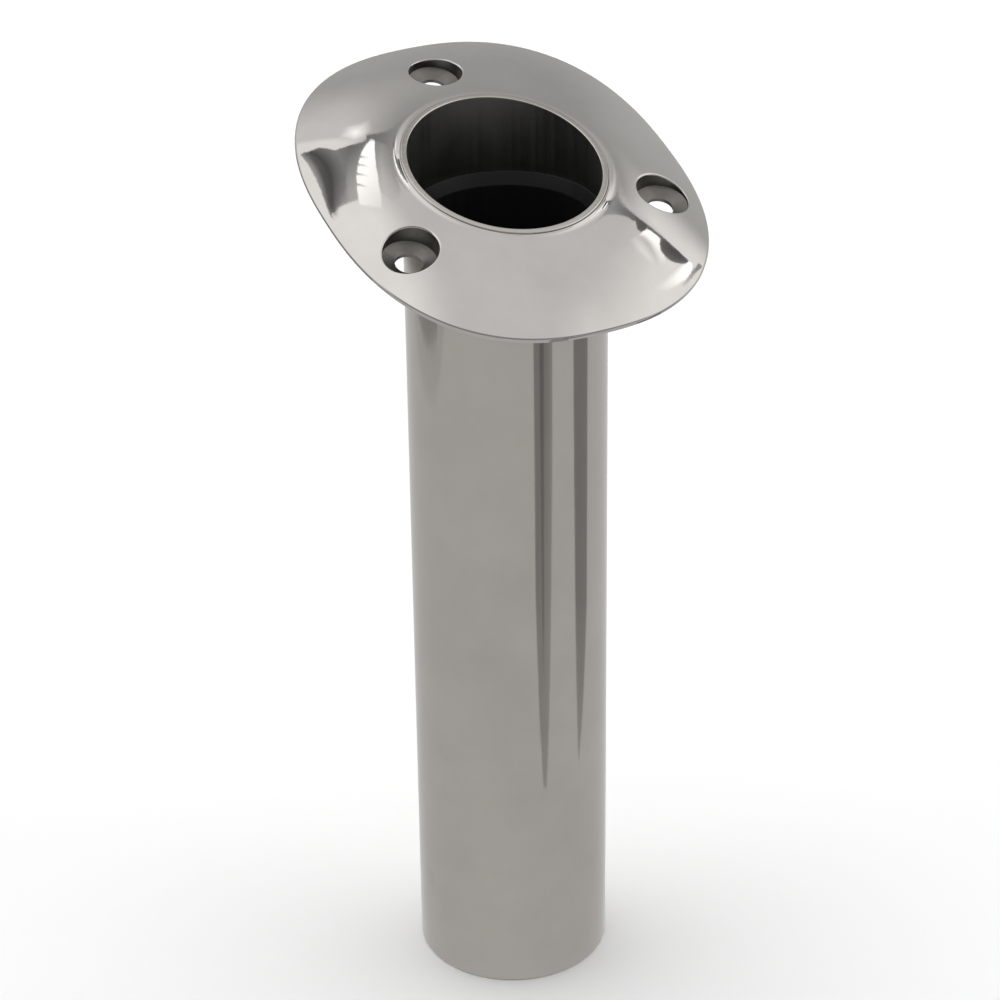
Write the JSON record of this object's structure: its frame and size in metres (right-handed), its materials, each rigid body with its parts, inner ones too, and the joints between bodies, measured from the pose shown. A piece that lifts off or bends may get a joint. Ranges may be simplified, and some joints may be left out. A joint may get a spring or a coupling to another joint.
{
  "type": "flush-mount fishing rod holder",
  "caption": "Flush-mount rod holder: polished steel tube welded into a leaning oval deck flange with countersunk screw holes, lined with a plastic sleeve and crossed by a butt pin.",
  "frame": {"origin": "centre of the screw circle, on the flange's flat underside that beds on the deck", "axes": "+Z along the tube's axis, out of its mouth, so the holder stands upright on its cut foot; the flange leans 17.5 degrees towards -Y, so the deck's normal lies in the YZ plane; +X across the lean, along the cross pin"},
  "size_m": [0.094, 0.107, 0.2405],
  "materials": {
    "cast_steel": "mirror-polished cast stainless steel",
    "tube_steel": "mirror-polished stainless steel tube with fine draw lines",
    "weld_metal": "stainless steel weld bead, wire-brushed, with ripples",
    "black_plastic": "black plastic pipe, satin",
    "pin_steel": "plain stainless steel bar, satin"
  },
  "bodies": {
    "root": {"flange": "cast_steel", "tube": "tube_steel", "flange_weld": "weld_metal", "sleeve": "black_plastic", "cross_pin": "pin_steel"}
  },
  "joints": []
}
